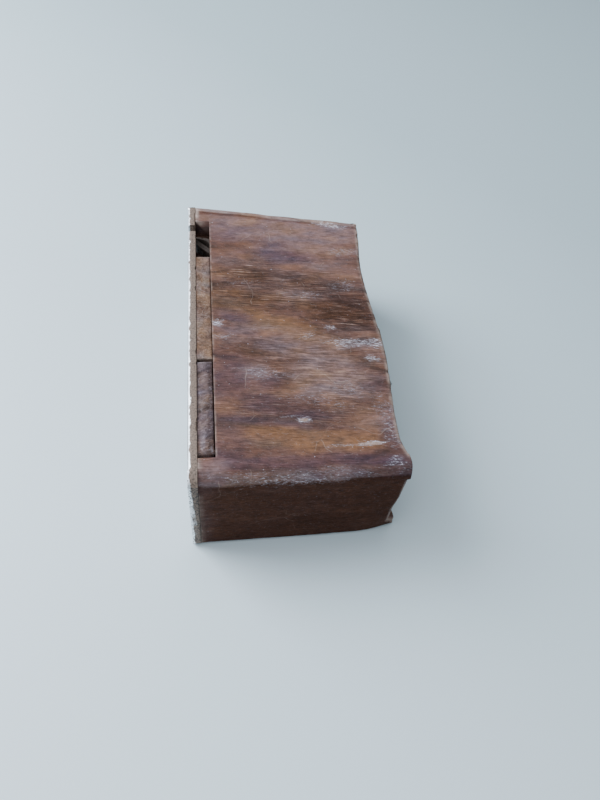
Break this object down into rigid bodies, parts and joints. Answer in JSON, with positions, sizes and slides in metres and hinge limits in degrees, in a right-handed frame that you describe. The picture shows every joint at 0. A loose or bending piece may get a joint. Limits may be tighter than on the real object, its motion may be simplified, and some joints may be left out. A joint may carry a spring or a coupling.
{
  "type": "hand plane",
  "caption": "Small bull-nosed wooden hand plane lying on its cheek, with a steel sole plate, wear slips in a side channel, and an iron, cap iron and wedge that slide in a bedded throat.",
  "frame": {"origin": "centre of the bounding box on the surface the plane lies on", "axes": "+X from the sole up to the top that the palm holds, +Y from the heel to the toe, +Z from the lower cheek to the upper one"},
  "size_m": [0.086, 0.1562, 0.049],
  "materials": {
    "rosewood": "worn, stained, hand polished",
    "slip_wood": "worn end grain",
    "wedge_wood": "oiled",
    "sole_steel": "polished by use",
    "tool_steel": "dull, ground",
    "screw_steel": "dull",
    "brass": "tarnished"
  },
  "bodies": {
    "stock": {"stock": "rosewood", "sole_plate": "sole_steel", "sole_screw_1": "screw_steel", "sole_screw_2": "screw_steel", "sole_screw_3": "screw_steel", "sole_screw_4": "screw_steel", "sole_screw_5": "screw_steel", "sole_screw_6": "screw_steel", "sole_screw_7": "screw_steel", "sole_screw_8": "screw_steel", "front_slip": "slip_wood", "rear_slip": "slip_wood", "slip_pin_1": "brass", "slip_pin_2": "brass", "slip_pin_3": "brass", "slip_pin_4": "brass", "slip_pin_5": "brass", "strike_button": "slip_wood"},
    "wedge": {"wedge": "wedge_wood"},
    "iron": {"iron": "tool_steel"},
    "cap_iron": {"cap_iron": "tool_steel", "cap_nut": "brass"},
    "cap_screw": {"cap_screw": "screw_steel"}
  },
  "joints": [
    {"name": "wedge_slide", "type": "slide", "parent": "stock", "child": "wedge", "axis": [0.7071, -0.7071, 0], "range_m": [0, 0.085]},
    {"name": "iron_slide", "type": "slide", "parent": "stock", "child": "iron", "axis": [0.7071, -0.7071, 0], "range_m": [-0.001, 0.0035]},
    {"name": "cap_iron_slide", "type": "slide", "parent": "iron", "child": "cap_iron", "axis": [0.7071, -0.7071, 0], "range_m": [-0.001, 0.003]},
    {"name": "cap_screw_turn", "type": "hinge", "parent": "cap_iron", "child": "cap_screw", "pos_m": [-0.00764, 0.02229, 0.0245], "axis": [-0.7071, -0.7071, 0], "range_deg": [0, 360]}
  ]
}
